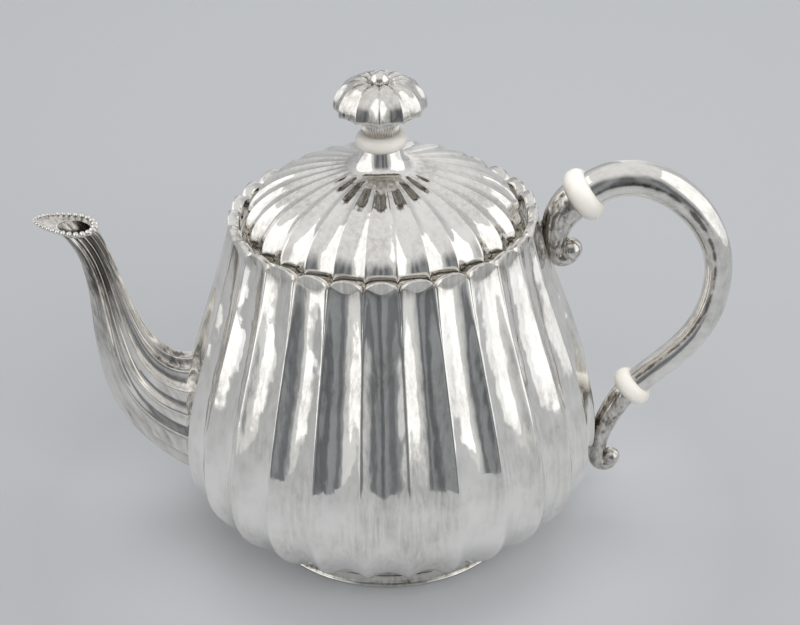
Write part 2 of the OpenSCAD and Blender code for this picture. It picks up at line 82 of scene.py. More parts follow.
class BodySizes(bpy.types.PropertyGroup):
    rim_height: length("Rim height", "Height of the notches between the rim's arches", 0.1215)
    rim_radius: length("Rim radius", "Radius of the ridges at the rim", 0.053)
    rim_width: length("Rim width", "Thickness of the rim towards the axis", 0.0038)
    arch_rise: length("Arch rise", "Rise of each arch above the notches", 0.0041)
    inner_rise: length("Inner arch rise", "Rise of the arches at the inner edge", 0.0027)
    head_share: amount("Head depth", "Share of a flute's depth left at the rim itself", 0.18)
    crease: amount("Crease", "Softness of a flute head's edge, as a share of its depth", 0.11)
    head: length("Flute head", "Length of the slanting head of each flute", 0.0078)
    belly_radius: length("Belly radius", "Largest radius of the ridges", 0.0741)
    belly_height: length("Belly height", "Height of the widest ring", 0.040)
    flute_depth: length("Flute depth", "Depth of a flute at the belly", 0.0024)
    wall: length("Wall", "Thickness of the raised silver", 0.0011)
    bore: length("Bore", "Depth of the plain bore inside the rim", 0.009)
    foot_lap: length("Foot lap", "How far the body's edge lies inside the foot ring", 0.0013)
    flutes: number("Flutes", "Number of flutes round the body and the lid", 28)


class LidSizes(bpy.types.PropertyGroup):
    radius: length("Lid radius", "Radius of the ridges at the lid's edge", 0.0473)
    drop: length("Drop", "How far the lid's edge lies below the rim's notches", 0.0015)
    rise: length("Dome rise", "Height of the dome from its edge to the neck", 0.0224)
    wall: length("Dome wall", "Thickness of the dome", 0.001)
    flute_depth: length("Flute depth", "Depth of a lid flute at the edge", 0.0015)
    neck_base: length("Neck base", "Radius where the neck joins the dome", 0.0105)
    skirt: length("Skirt", "How far the dome's edge runs on down inside the rim", 0.0022)
    ring_lift: length("Ring lift", "How far the neck reaches up into the white ring", 0.0017)
    neck_radius: length("Neck radius", "Radius of the neck at the top", 0.0068)
    flower_radius: length("Flower radius", "Radius of the flower at its ridges", 0.0158)
    flower_height: length("Flower height", "Height of the flower", 0.0094)
    petals: number("Petals", "Number of petals on the knob's flower", 12)
    petal_depth: length("Petal depth", "Depth of a petal's hollow at its edge", 0.0010)
    ribs: number("Ribs", "Number of ribs round the knob's collar", 44)


class SpoutSizes(bpy.types.PropertyGroup):
    mouth_height: length("Mouth height", "Height of the tube at the mouth", 0.1204)
    reach: length("Reach", "Distance from the axis to the middle of the mouth", 0.1056)
    mouth_length: length("Mouth length", "Length of the mouth along the spout", 0.0141)
    mouth_width: length("Mouth width", "Width of the mouth across the spout", 0.0134)
    base_width: length("Base width", "Width of the spout at its base", 0.025)
    base_top: length("Base top", "Height where the spout leaves the body at the top", 0.0703)
    base_bottom: length("Base bottom", "Height where it leaves the body below", 0.023)
    wall: length("Wall", "Thickness of the spout", 0.001)
    flute_depth: length("Flute depth", "Depth of the spout's flutes", 0.0009)
    lip_length: length("Lip length", "Length of the pouring lip past the tube", 0.0076)
    lip_thickness: length("Lip thickness", "Thickness of the lip", 0.0012)
    bead: length("Bead", "Radius of the largest bead on the lip", 0.00112)
    lip_tilt: slope("Lip tilt", "Tilt of the lip towards its point", np.radians(9))
    flutes: number("Flutes", "Number of flutes round the spout", 16)
    beads: number("Beads", "Number of beads round the lip", 28)


class HandleSizes(bpy.types.PropertyGroup):
    reach: length("Reach", "Distance from the axis to the middle of the side", 0.1152)
    side_height: length("Side height", "Height of the handle's outermost point", 0.0995)
    upper_radius: length("Upper radius", "Radius of the tube at the upper ring", 0.0062)
    lower_radius: length("Lower radius", "Radius of the tube at the lower ring", 0.0048)
    upper_x: length("Upper ring X", "Distance from the axis to the upper ring", 0.068)
    upper_z: length("Upper ring Z", "Height of the upper ring's centre", 0.1301)
    upper_tilt: slope("Upper tilt", "Upper ring's axis above level", np.radians(34))
    upper_ring: length("Upper ring", "Radius of the upper ring", 0.0093)
    upper_width: length("Upper width", "Thickness of the upper ring", 0.008)
    lower_x: length("Lower ring X", "Distance from the axis to the lower ring", 0.0872)
    lower_z: length("Lower ring Z", "Height of the lower ring's centre", 0.0537)
    lower_tilt: slope("Lower tilt", "Lower ring's axis above level", np.radians(45))
    lower_ring: length("Lower ring", "Radius of the lower ring", 0.0073)
    lower_width: length("Lower width", "Thickness of the lower ring", 0.0066)
    upper_ball: length("Upper ball", "Radius of the upper scroll's ball", 0.0041)
    upper_scroll: length("Upper scroll", "Height of the upper scroll's centre", 0.1092)
    lower_ball: length("Lower ball", "Radius of the lower scroll's ball", 0.0034)
    lower_scroll: length("Lower scroll", "Height of the lower scroll's centre", 0.0236)


class Finish(bpy.types.PropertyGroup):
    silver: colour("Silver", "Colour of the polished silver", (0.885, 0.868, 0.832))
    # This colour also paints the painted shade in gaps, recesses and under parts.
    tarnish: colour("Tarnish", "Colour of the thin tarnish in corners", (0.30, 0.27, 0.235))
    bone: colour("Bone", "Colour of the white rings", (0.95, 0.935, 0.90))
    steel: colour("Nut", "Colour of the bolt, washer and nut", (0.72, 0.71, 0.68))
    floor: colour("Floor", "Colour of the floor", (0.393, 0.404, 0.417))
    gloss: amount("Roughness", "Roughness of the polished silver", 0.045)
    haze: amount("Haze", "Strength of the soft bloom over the polish", 0.42)


# -------- shaping helpers

def smooth(t):
    t = np.clip(t, 0, 1)
    return t * t * (3 - 2 * t)


def mix(a, b, t):
    return a + (b - a) * t


def spread(points, t):
    """A curve's four points, shaped to be worked with the array t."""
    return (np.reshape(p, (2,) + (1,) * np.ndim(t)) for p in points)


def cubic(points, t):
    """A cubic curve; the result's first axis is x, z."""
    a, b, c, d = spread(points, t)
    return (1 - t) ** 3 * a + 3 * (1 - t) ** 2 * t * b + 3 * (1 - t) * t * t * c + t ** 3 * d


def cubic_way(points, t):
    """The curve's direction, of length one."""
    a, b, c, d = spread(points, t)
    way = (1 - t) ** 2 * (b - a) + 2 * (1 - t) * t * (c - b) + t * t * (d - c)
    return way / np.hypot(*way)


def square(way):
    """The direction a quarter turn to the left."""
    return np.array((-way[1], way[0]))


def fluting(u, edge=0.027):
    """Hollow across one flute, with a slightly rounded ridge at each side."""
    from_ridge = np.minimum(u, 1 - u)
    soft = np.sqrt(from_ridge ** 2 + edge ** 2) - edge
    return 4 * soft * (1 - soft)


def arch(u):
    """Height of a rim arch across its flute, from 0 to 1."""
    return (1 - (2 * u - 1) ** 2) ** 0.62


def deselect():
    bpy.ops.object.select_all(action="DESELECT")


def choose(piece):
    deselect()
    piece.select_set(True)
    bpy.context.view_layer.objects.active = piece


def corners(piece):
    """The positions of a mesh's vertices."""
    flat = np.empty(3 * len(piece.data.vertices))
    piece.data.vertices.foreach_get("co", flat)
    return flat.reshape(-1, 3)


def solid(make, **how):
    """Adds a primitive of bpy.ops.mesh and applies its place."""
    deselect()
    make(**how)
    bpy.ops.object.transform_apply()
    return bpy.context.object


def weld(piece):
    choose(piece)
    bpy.ops.object.mode_set(mode="EDIT")
    bpy.ops.mesh.select_all(action="SELECT")
    bpy.ops.mesh.remove_doubles(threshold=1e-6)
    bpy.ops.object.mode_set(mode="OBJECT")


def shade(piece, degrees):
    choose(piece)
    bpy.ops.object.shade_smooth_by_angle(angle=np.radians(degrees))


def woven(name, columns, rows, place, angle=32):
    """A grid bent into shape: place(i, j) gives x, y, z for column i and row j."""
    deselect()
    bpy.ops.mesh.primitive_grid_add(x_subdivisions=columns, y_subdivisions=rows, size=2)
    piece = bpy.context.object
    piece.name = piece.data.name = name
    x, y, _ = corners(piece).T
    i = np.rint((x + 1) * columns / 2).astype(int)
    j = np.rint((y + 1) * rows / 2).astype(int)
    piece.data.vertices.foreach_set("co", np.stack(place(i, j), 1).ravel())
    weld(piece)
    shade(piece, angle)
    return piece


def ringed(name, around, blocks, angle=32, worked=None):
    """Rings round the Z axis. Each block gives the radius and height of one ring or more."""
    full = [np.broadcast_arrays(*np.atleast_2d(r, z, around))[:2] for r, z in blocks]
    r, z = (np.concatenate(part) for part in zip(*full))
    if worked:
        r = r + worked(r * np.cos(around), r * np.sin(around), z)

    def place(i, j):
        return r[j, i] * np.cos(around[i]), r[j, i] * np.sin(around[i]), z[j, i]

    return woven(name, len(around) - 1, len(r) - 1, place, angle)


def turned(name, outline, sides=128, angle=32):
    """A piece turned on a lathe. The outline's points (r, z) run up the outside."""
    return ringed(name, np.linspace(0, 2 * np.pi, sides + 1), outline, angle)


def bow(centre, radii, start, end, steps):
    """Points of an arc from start to end, in degrees."""
    a = np.radians(np.linspace(start, end, steps + 1))
    return [(centre[0] + radii[0] * np.cos(t), centre[1] + radii[1] * np.sin(t)) for t in a]


def rounded_rim(face, reach, half, power, middle=0.0):
    """Side of a white ring: it leaves its faces at radius face and bulges out by reach."""
    return [(face + reach * abs(np.cos(a)) ** power, middle + half * np.sin(a))
            for a in np.radians(np.linspace(-90, 90, 33))]


def flute_columns(flutes, per_flute):
    """Angles round the axis and places across the flute, closer together at the ridges."""
    i = np.arange(flutes * per_flute + 1)
    u = 0.5 - 0.5 * np.cos(np.pi * (i % per_flute) / per_flute)
    return (i // per_flute + u - 0.5) * 2 * np.pi / flutes, u


def join(name, pieces):
    choose(pieces[0])
    for piece in pieces[1:]:
        piece.select_set(True)
    bpy.ops.object.join()
    pieces[0].name = pieces[0].data.name = name
    return pieces[0]


def stain_and_shade(piece, spots, base=0.0, rule=None):
    """Stores how dark each point is painted, thin tarnish and painted shade alike; spots are
    (centre, radius, strength).
    """
    points = corners(piece)
    dark = np.full(len(points), float(base))
    for centre, radius, strength in spots:
        far = np.linalg.norm(points - np.array(centre), axis=1)
        dark = np.maximum(dark, strength * np.exp(-(far / radius) ** 2))
    if rule:
        dark = np.maximum(dark, rule(points))
    layer = piece.data.attributes.new("tarnish", "FLOAT", "POINT")
    layer.data.foreach_set("value", dark)


def coat(piece, material):
    piece.data.materials.clear()
    piece.data.materials.append(material)


def dress(piece, body, slot, material, *nodes):
    """Gives a finished piece its material, its body and the nodes that it stands for."""
    coat(piece, material)
    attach(piece, body)
    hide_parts(*nodes)


# -------- materials

class Graph:
    """A node tree. What a socket is given is a value, or another node's output."""

    def __init__(self, tree):
        self.tree = tree
        tree.nodes.clear()

    def add(self, kind, settings=(), **inputs):
        """Adds a node with its own settings; _0 means the socket numbered 0."""
        made = self.tree.nodes.new("ShaderNode" + kind)
        for key, value in dict(settings).items():
            setattr(made, key, value)
        for key, value in inputs.items():
            socket = made.inputs[int(key[1:]) if key[0] == "_" else key.replace("_", " ")]
            if isinstance(value, bpy.types.NodeSocket):
                self.tree.links.new(value, socket)
            else:
                socket.default_value = value
        return made

    def place(self):
        return self.add("TexCoord").outputs["Object"]

    def tarnish(self):
        return self.add("Attribute", {"attribute_name": "tarnish"}).outputs["Fac"]

    def drawn_out(self, place, lengths, turn=0.0):
        """Coordinates whose pattern is longer along each axis, after a turn round Y."""
        return self.add("Mapping", {"vector_type": "TEXTURE"}, Vector=place,
                        Rotation=(0, turn, 0), Scale=lengths).outputs[0]

    def noise(self, place, scale, detail, roughness):
        return self.add("TexNoise", Vector=place, Scale=scale, Detail=detail,
                        Roughness=roughness).outputs["Fac"]

    def ramp(self, value, low, high, start=0.0, end=1.0, **settings):
        return self.add("MapRange", settings, Value=value, From_Min=low, From_Max=high,
                        To_Min=start, To_Max=end).outputs[0]

    def maths(self, operation, *values, clamp=False):
        return self.add("Math", {"operation": operation, "use_clamp": clamp},
                        **{f"_{k}": value for k, value in enumerate(values)}).outputs[0]

    def blend(self, share, low, high):
        """Mixes two colours."""
        return self.add("Mix", {"data_type": "RGBA"}, _0=share, _6=low, _7=high).outputs[2]

    def bump(self, height, strength, distance, **under):
        return self.add("Bump", Strength=strength, Distance=distance, Height=height,
                        **under).outputs[0]

    def surface(self, **looks):
        shell = self.add("BsdfPrincipled", **looks)
        self.add("OutputMaterial", Surface=shell.outputs[0])


def opaque(rgb, shade=1.0):
    return (*(c * shade for c in rgb), 1)


def fresh(name):
    made = bpy.data.materials.new(name)
    made.use_nodes = True
    return made, Graph(made.node_tree), bpy.context.scene.teapot_finish


def polished_silver(name, along=(1, 1, 9), turn=0.0, wear=1.0, dull=0.0, veil=1.0):
    """Burnished silver: hammer waves, streaks along the polishing, pits, thin tarnish and painted
    shade.
    """
    made, g, finish = fresh(name)
    place = g.place()
    run = g.drawn_out(place, along, turn)
    broad = g.drawn_out(place, tuple(c ** 0.36 for c in along), turn)
    cloud = g.noise(place, 45, 5, 0.62)
    wave = g.noise(broad, 130, 1.6, 0.55)
    streak = g.noise(run, 620, 4, 0.65)
    rub = g.noise(run, 2600, 3, 0.7)
    pits = g.add("TexVoronoi", Vector=place, Scale=420).outputs["Distance"]
    ridge = g.add("NewGeometry").outputs["Pointiness"]
    # Stored thin tarnish and painted shade, made stronger in hollows and weaker on ridges, then
    # broken up by the streaks.
    hollow_tarnish_and_shade = g.maths("MULTIPLY", g.tarnish(), g.ramp(ridge, 0.485, 0.53, 1.25, 0.3))
    streaked_tarnish_and_shade = g.maths("MULTIPLY", hollow_tarnish_and_shade, g.ramp(streak, 0.3, 0.68, 0.35, 1.25))
    wear_and_shade = g.maths("MULTIPLY_ADD", g.ramp(cloud, 0.38, 0.66, 0, 0.40 * wear),
                   g.ramp(streak, 0.32, 0.66, 0.1, 1.5), streaked_tarnish_and_shade, clamp=True)
    thin = g.blend(wear_and_shade, opaque(finish.silver), opaque(finish.tarnish))
    tone = g.blend(g.ramp(wear_and_shade, 0.7, 1), thin, opaque(finish.tarnish, 0.4))
    clean = g.ramp(cloud, 0.25, 0.75, finish.gloss * 0.5 + dull, finish.gloss * 1.6 + dull)
    swell = g.bump(wave, 1, 0.00038 * wear)
    line = g.bump(streak, 0.8, 0.00003 * wear, Normal=swell)
    grain = g.bump(rub, 0.08 * wear, 0.00002, Normal=line)
    dent = g.bump(g.ramp(pits, 0.02, 0.09), 0.3 * wear, 0.00003, Normal=grain)
    bloom = g.ramp(cloud, 0.3, 0.7, finish.haze * 0.5 * veil, finish.haze * 1.3 * veil)
    g.surface(Metallic=1, Base_Color=tone, Normal=dent, Coat_Weight=bloom,
              Coat_Roughness=0.42, Coat_IOR=2.4,
              Roughness=g.maths("MULTIPLY_ADD", wear_and_shade, 0.13, clean))
    return made


def dulled_silver(name, dark):
    """Silver that polishing doesn't reach, evenly tarnished."""
    made, g, finish = fresh(name)
    cloud = g.noise(g.place(), 90, 5, 0.65)
    tone = g.blend(g.ramp(cloud, 0.25, 0.7, dark * 0.6, dark),
                   opaque(finish.silver), opaque(finish.tarnish))
    g.surface(Metallic=1, Base_Color=tone, Normal=g.bump(cloud, 0.15, 0.00004),
              Roughness=g.ramp(cloud, 0.3, 0.7, 0.14, 0.34))
    return made


def turned_bone(name):
    """Warm white bone with faint growth lines and a waxed surface."""
    made, g, finish = fresh(name)
    place = g.place()
    cloud = g.noise(place, 160, 5, 0.6)
    lines = g.add("TexWave", {"bands_direction": "DIAGONAL"}, Vector=place, Scale=420,
                  Distortion=3, Detail=3).outputs["Fac"]
    warm = [c * k for c, k in zip(finish.bone, (0.98, 0.94, 0.86))]
    base = g.blend(g.ramp(cloud, 0.35, 0.75, 0, 0.8), opaque(finish.bone), opaque(warm))
    fine = g.blend(g.ramp(lines, 0.6, 1, 0, 0.22), base, opaque(warm, 0.9))
    # The stored marks brown the bone by its faces: painted shade where it meets the silver.
    g.surface(Base_Color=g.blend(g.tarnish(), fine, (0.42, 0.33, 0.22, 1)),
              Roughness=g.ramp(cloud, 0.3, 0.7, 0.16, 0.30),
              Normal=g.bump(lines, 0.12, 0.00004), Specular_IOR_Level=0.6)
    return made


def turned_metal(name):
    """Plain turned metal for the hidden bolt, washer and nut."""
    made, g, finish = fresh(name)
    lathe = g.noise(g.drawn_out(g.place(), (1, 1, 1 / 30)), 300, 2, 0.5)
    g.surface(Metallic=1, Base_Color=opaque(finish.steel),
              Roughness=g.ramp(lathe, 0.3, 0.7, 0.25, 0.45),
              Normal=g.bump(lathe, 0.2, 0.00003))
    return made


def material(name, make, *words, **values):
    return bpy.data.materials.get(name) or make(name, *words, **values)


def silver(kind):
    return material(kind + "_silver", polished_silver, **SILVERS[kind])


def bone():
    return material("turned_bone", turned_bone)


# -------- the body's form

class BodyForm:
    """The fluted form that the body and all that is soldered to it share."""

    def __init__(self):
        b = self.sizes = bpy.context.scene.teapot_body
        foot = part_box("foot_ring")
        self.foot_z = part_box("body_shell")[0][2]
        self.edge = (foot[1][0] - b.foot_lap, self.foot_z)
        belly = (b.belly_radius, b.belly_height)
        self.flank = [(b.rim_radius, b.rim_height),
                      (b.rim_radius + 0.0099, b.rim_height - 0.0383),
                      (belly[0], belly[1] + 0.0263), belly]
        self.under = [belly, (belly[0], belly[1] - 0.0192),
                      (self.edge[0] + 0.0145, self.edge[1] + 0.0101), self.edge]
        self.steps = np.linspace(0, 2, 801)
        self.heights = self.ridge(self.steps)[1]
        self.head_s = self.at(b.rim_height - (b.head - b.arch_rise))
        self.arch_s = self.at(b.rim_height - 0.022)
        self.inner = b.rim_radius - b.rim_width

    def along(self, curve, s):
        return np.where(s > 1, curve(self.under, np.clip(s - 1, 0, 1)),
                        curve(self.flank, np.clip(s, 0, 1)))

    def ridge(self, s):
        return self.along(cubic, s)

    def outward(self, s):
        return square(self.along(cubic_way, s))

    def at(self, z):
        """Where along the profile a height lies: 0 at the rim, 2 at the foot."""
        return np.interp(-np.asarray(z), -self.heights, self.steps)

    def hollow(self, u, s):
        """Depth of a flute: a hollow all the way, cut off near the rim by a slanting head."""
        b = self.sizes
        full = b.flute_depth * self.ridge(s)[0] / b.belly_radius * smooth((2 - s) / 0.12)
        across, head = fluting(u), mix(b.head_share, 1, s / self.head_s)
        return full * (across + head - np.hypot(across - head, b.crease)) / 2

    def point(self, u, s, inset=0.0):
        r, z = self.ridge(s) - self.outward(s) * (self.hollow(u, s) + inset)
        return r, z + self.sizes.arch_rise * arch(u) * np.maximum(0, 1 - s / self.arch_s)

    def surface(self, x, y, z):
        """Radius of the outer surface in the direction of a point."""
        u = (np.arctan2(y, x) / (2 * np.pi) * self.sizes.flutes + 0.5) % 1
        s = self.at(z)
        return self.ridge(s)[0] - self.hollow(u, s) * self.outward(s)[0]


# -------- the pot's pieces

class TEAPOT_OT_body(bpy.types.Operator):
    """Raise the fluted body, from the foot over the arched rim and down inside"""
    bl_idname = "teapot.body"
    bl_label = "Body"

    def execute(self, context):
        form = BodyForm()
        b = form.sizes
        # Rows up the outside: from the foot to the belly, up the flank, and finer at the heads
        fine = form.head_s * np.linspace(1.3, 0, 22) ** 1.2
        outer = np.r_[np.linspace(2, 1, 45)[:-1], np.linspace(1, fine[0], 46)[:-1], fine][:, None]
        inner = np.linspace(0.19, 1.94, 40)[:, None]
        bevel, crown = 0.00018, 0.0004
        around, u = flute_columns(b.flutes, 20)
        flank = form.point(u, outer)
        flank[1][-1] -= bevel
        band = np.linspace(0, 1, 9)[:, None]
        face = b.rim_radius - bevel - form.hollow(u, 0.0)
        lip_z = (b.rim_height - bevel * (abs(2 * band - 1) > 0.99)
                 + crown * (1 - (2 * band - 1) ** 2)
                 + mix(b.arch_rise, b.inner_rise, band) * arch(u))

        def worked(x, y, z):
            """Slow waves left by raising, which fade out at the rim and the foot."""
            calm = smooth((b.rim_height - 0.006 - z) / 0.01) * smooth((z - form.foot_z) / 0.01)
            slow = (np.sin(210 * x + 1.3 + 3 * np.sin(95 * z))
                    * np.sin(170 * z + 0.6 + 2 * np.sin(130 * y)))
            quick = (np.sin(390 * y + 2.1 + 2 * np.sin(160 * x))
                     * np.sin(310 * z + 1.9 + 2 * np.sin(210 * x)))
            return 0.00004 * (0.7 * slow + 0.3 * quick) * calm

        piece = ringed("raised_body", around, [
            flank, (mix(face, form.inner, band), lip_z),
            (form.inner, b.rim_height - b.bore), form.point(u, inner, b.wall),
            (form.edge[0] - b.foot_lap, form.foot_z), form.edge], worked=worked)
        handle, spout = context.scene.teapot_handle, context.scene.teapot_spout
        # Painted shade where the sockets and the spout meet the body, and darker over the rim and
        # the flute heads under its arches, a painted grey reflection.
        stain_and_shade(piece, [
            ((b.rim_radius + 0.004, 0, handle.upper_scroll + 0.005), 0.011, 0.6),
            ((b.belly_radius, 0, handle.lower_scroll + 0.010), 0.011, 0.6),
            ((-b.belly_radius, 0, spout.base_top), 0.008, 0.5),
            ((-b.belly_radius, 0, spout.base_bottom), 0.010, 0.5),
        ], rule=lambda points: 0.32 * smooth((points[:, 2] - b.rim_height + 0.003) / 0.003))
        dress(piece, POT, "silver", silver("raised"), "body_shell")
        return {"FINISHED"}


class TEAPOT_OT_foot(bpy.types.Operator):
    """Turn the foot ring under the body"""
    bl_idname = "teapot.foot"
    bl_label = "Foot"

    def execute(self, context):
        outer, _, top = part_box("foot_ring")[1]
        width = 0.0036
        inner = outer - width
        outline = [(inner, 0.0003), (inner + 0.0003, 0), (outer - 0.0004, 0)]
        outline += bow((outer - 0.0005, 0.0006), (0.0005, 0.0006), -80, 80, 8)
        outline += [(outer - 0.0009, 0.0022), (outer - 0.0009, top), (inner - 0.0004, top),
                    (inner - 0.0004, top - 0.0014), (inner, 0.0003)]
        piece = turned("foot", outline, 192)
        # Painted shade: the whole foot ring is darker, as it lies under the belly.
        stain_and_shade(piece, [], 0.45)
        dress(piece, POT, "silver", silver("cast"), "foot_ring")
        return {"FINISHED"}


class TEAPOT_OT_spout(bpy.types.Operator):
    """Draw the fluted spout and scribe it to the body"""
    bl_idname = "teapot.spout"
    bl_label = "Spout"

    def execute(self, context):
        s = context.scene.teapot_spout
        form = BodyForm()
        mouth = np.array((-s.reach, s.mouth_height))
        end = s.mouth_length / 2 * np.array((np.cos(s.lip_tilt), -np.sin(s.lip_tilt)))
        top_r, low_r = (float(form.ridge(form.at(z))[0]) for z in (s.base_top, s.base_bottom))
        top = [mouth + end, mouth + end + (0.0079, -0.009),
               (-top_r - 0.020, s.base_top - 0.0057), (-top_r + 0.0013, s.base_top)]
        low = [mouth - end, mouth - end + (0.0227, -0.0215),
               (-low_r - 0.053, s.base_bottom + 0.0324), (-low_r - 0.0046, s.base_bottom)]
        push, fit, belly = 0.016, 0.0002, form.sizes.belly_radius
        turns, across = flute_columns(s.flutes, 12)

        def tube(a, u, t, inset):
            """A point at angle a round the tube; past t = 1 the tube runs on into the body."""
            along = np.clip(t, 0, 1)
            upper, lower = cubic(top, along), cubic(low, along ** 1.35)
            middle, half = (upper + lower) / 2, (upper - lower) / 2
            wide = mix(mix(s.mouth_width, s.mouth_width - 0.0014, smooth(along / 0.25)),
                       s.base_width, smooth((along - 0.2) / 0.8)) / 2
            deep = s.flute_depth * (1 + 0.8 * smooth(along))
            cut = np.where(inset > 0, inset + deep - s.flute_depth, deep * fluting(u, 0.05))
            size = np.hypot(*half)
            x, z = middle + half / size * (size - cut) * np.cos(a)
            return x + push * np.maximum(0, t - 1), -(wide - cut) * np.sin(a), z

        steps = 90
        inner_end = 2 * steps + 1

        def place(i, j):
            """Rows run down the outside, up inside the wall and over the mouth's edge."""
            inset = np.where((j > steps) & (j <= inner_end), s.wall, 0.0)
            reach_low, reach_high = np.full(len(i), 0.4), np.full(len(i), 2.0)
            for _ in range(24):
                t = (reach_low + reach_high) / 2
                x, y, z = tube(turns[i], across[i], t, inset)
                inside = np.hypot(x, y) < form.surface(x, y, z) - fit
                reach_high = np.where(inside, t, reach_high)
                reach_low = np.where(inside, reach_low, t)
            step = np.where(j <= steps, j, np.maximum(0, inner_end - j))
            return tube(turns[i], across[i], step / steps * reach_high, inset)

        piece = woven("spout_body", len(turns) - 1, 2 * steps + 2, place)
        lines = [cubic(line, np.linspace(0, 1, 60)) for line in (low, top)]

        def under(points):
            """Painted shade, darker towards the keel on the underside."""
            keel, crown = (np.hypot(*(points[:, ::2, None] - line).transpose(1, 0, 2)).min(1)
                           for line in lines)
            return 0.34 * smooth((0.50 - keel / (keel + crown)) / 0.4)

        # Painted shade where the spout meets the body, inside the mouth and faintly down the
        # tube, over a faint even darkening.
        stain_and_shade(piece, [((-belly, 0, s.base_top - 0.002), 0.010, 0.6),
                      ((-belly, 0, s.base_bottom + 0.004), 0.016, 0.5),
                      ((-s.reach + 0.006, 0, s.mouth_height - 0.006), 0.019, 1.1),
                      ((-s.reach + 0.016, 0, s.mouth_height - 0.030), 0.016, 0.1)],
              0.06, under)
        dress(piece, POT, "silver", silver("spout"), "spout_tube")
        return {"FINISHED"}


class TEAPOT_OT_lip(bpy.types.Operator):
    """Cast the leaf-shaped pouring lip with its border of beads"""
    bl_idname = "teapot.lip"
    bl_label = "Pouring lip"

    def execute(self, context):
        s = context.scene.teapot_spout
        mouth = Vector((-s.reach, 0, s.mouth_height))
        left = s.mouth_length / 2 + s.lip_length - s.bead
        right = s.mouth_length / 2 - 0.0002
        half = s.mouth_width / 2 + 0.0007
        opening = s.mouth_length / 2 - s.wall
        taper = 0.2         # how much narrower the leaf's point is than an ellipse

        def leaf(a, x_left, x_right, wide):
            c = np.cos(a)
            back = c < 0
            return (np.where(back, x_left, x_right) * c,
                    wide * np.sin(a) * np.where(back, 1 - taper * c ** 2, 1))

        def ring(a, out):
            """From the opening's edge (0) to the leaf's edge (1)."""
            x0, y0 = leaf(a, opening, opening - 0.0006, s.mouth_width / 2 - s.wall - 0.0003)
            x1, y1 = leaf(a, left, right, half)
            return mix(x0, x1, out), mix(y0, y1, out)

        t = s.lip_thickness
        dish = [(out, t * (0.07 + 0.86 * (out / 0.9) ** 1.8)) for out in np.linspace(0.9, 0, 14)]
        section = [(0.02, 0), (0.6, 0), (0.97, 0.0001), (1.0, 0.5 * t), (0.97, 0.9 * t), *dish,
                   (-0.02, 0.02 * t), (0.02, 0)]
        sides = 120

        def place(i, j):
            out, z = np.array(section).T[:, j]
            x, y = ring(2 * np.pi * i / sides, out)
            return x, y, z + SEAM

        plate = woven("lip_plate", sides, len(section) - 1, place, 50)
        edge = np.stack(leaf(np.linspace(0, 2 * np.pi, 721), left, right, half), 1)
        apart = np.linalg.norm(np.diff(edge, axis=0), axis=1)

        def graded(x):
            """The beads grow from the lip's point towards the pot."""
            return mix(0.62, 1, smooth((x + left) / (left + right)))

        count = np.cumsum([0, *(apart / graded((edge[1:, 0] + edge[:-1, 0]) / 2))])
        pieces = [plate]
        for k in range(s.beads):
            x, y = (np.interp(k * count[-1] / s.beads, count, line) for line in edge.T)
            bead = solid(bpy.ops.mesh.primitive_uv_sphere_add, segments=18, ring_count=12,
                         radius=s.bead * float(graded(x)))
            way = np.arctan2(y / half, x / (left if x < 0 else right))
            bead.data.transform(Matrix.Translation((x, y, s.bead + 0.0001))
                                @ Matrix.Rotation(way, 4, "Z")
                                @ Matrix.Diagonal((1.25, 1.0, 0.95, 1)))
            pieces.append(bead)
        piece = join("pouring_lip", pieces)
        piece.data.transform(Matrix.Translation(mouth) @ Matrix.Rotation(s.lip_tilt, 4, "Y"))
        shade(piece, 60)
        # Painted shade in the dish round the opening; the whole lip is darker besides.
        stain_and_shade(piece, [((-s.reach, 0, s.mouth_height), 0.010, 0.75)], 0.45)
        dress(piece, POT, "silver", silver("cast"), "spout_lip")
        return {"FINISHED"}


# -------- the handle

def lean(angle):
    return np.array((np.cos(angle), np.sin(angle)))


def bent_tube(name, path, way, radius):
    """A round tube with closed ends along a path in the XZ plane."""
    x, z = path
    count, sides = len(x), 64

    def place(i, j):
        at = np.clip(j - 1, 0, count - 1)
        r = np.where((j == 0) | (j == count + 1), 0, radius[at])
        a = 2 * np.pi * i / sides
        return (x[at] - way[1][at] * r * np.cos(a), -r * np.sin(a),
                z[at] + way[0][at] * r * np.cos(a))

    return woven(name, sides, count + 1, place, 50)


def ring_sizes(end):
    """Centre, tilt, radius, thickness and face radius of the upper or lower white ring."""
    h = bpy.context.scene.teapot_handle
    return (getattr(h, f"{end}_{part}") for part in
            ("x", "z", "tilt", "ring", "width", "radius"))


def ring_face(end, side):
    """Middle of a white ring's face towards the tube (1) or the socket (-1), and its angle."""
    x, z, angle, _, width, _ = ring_sizes(end)
    return np.array((x, z)) + side * lean(angle) * (width / 2 + SEAM), angle


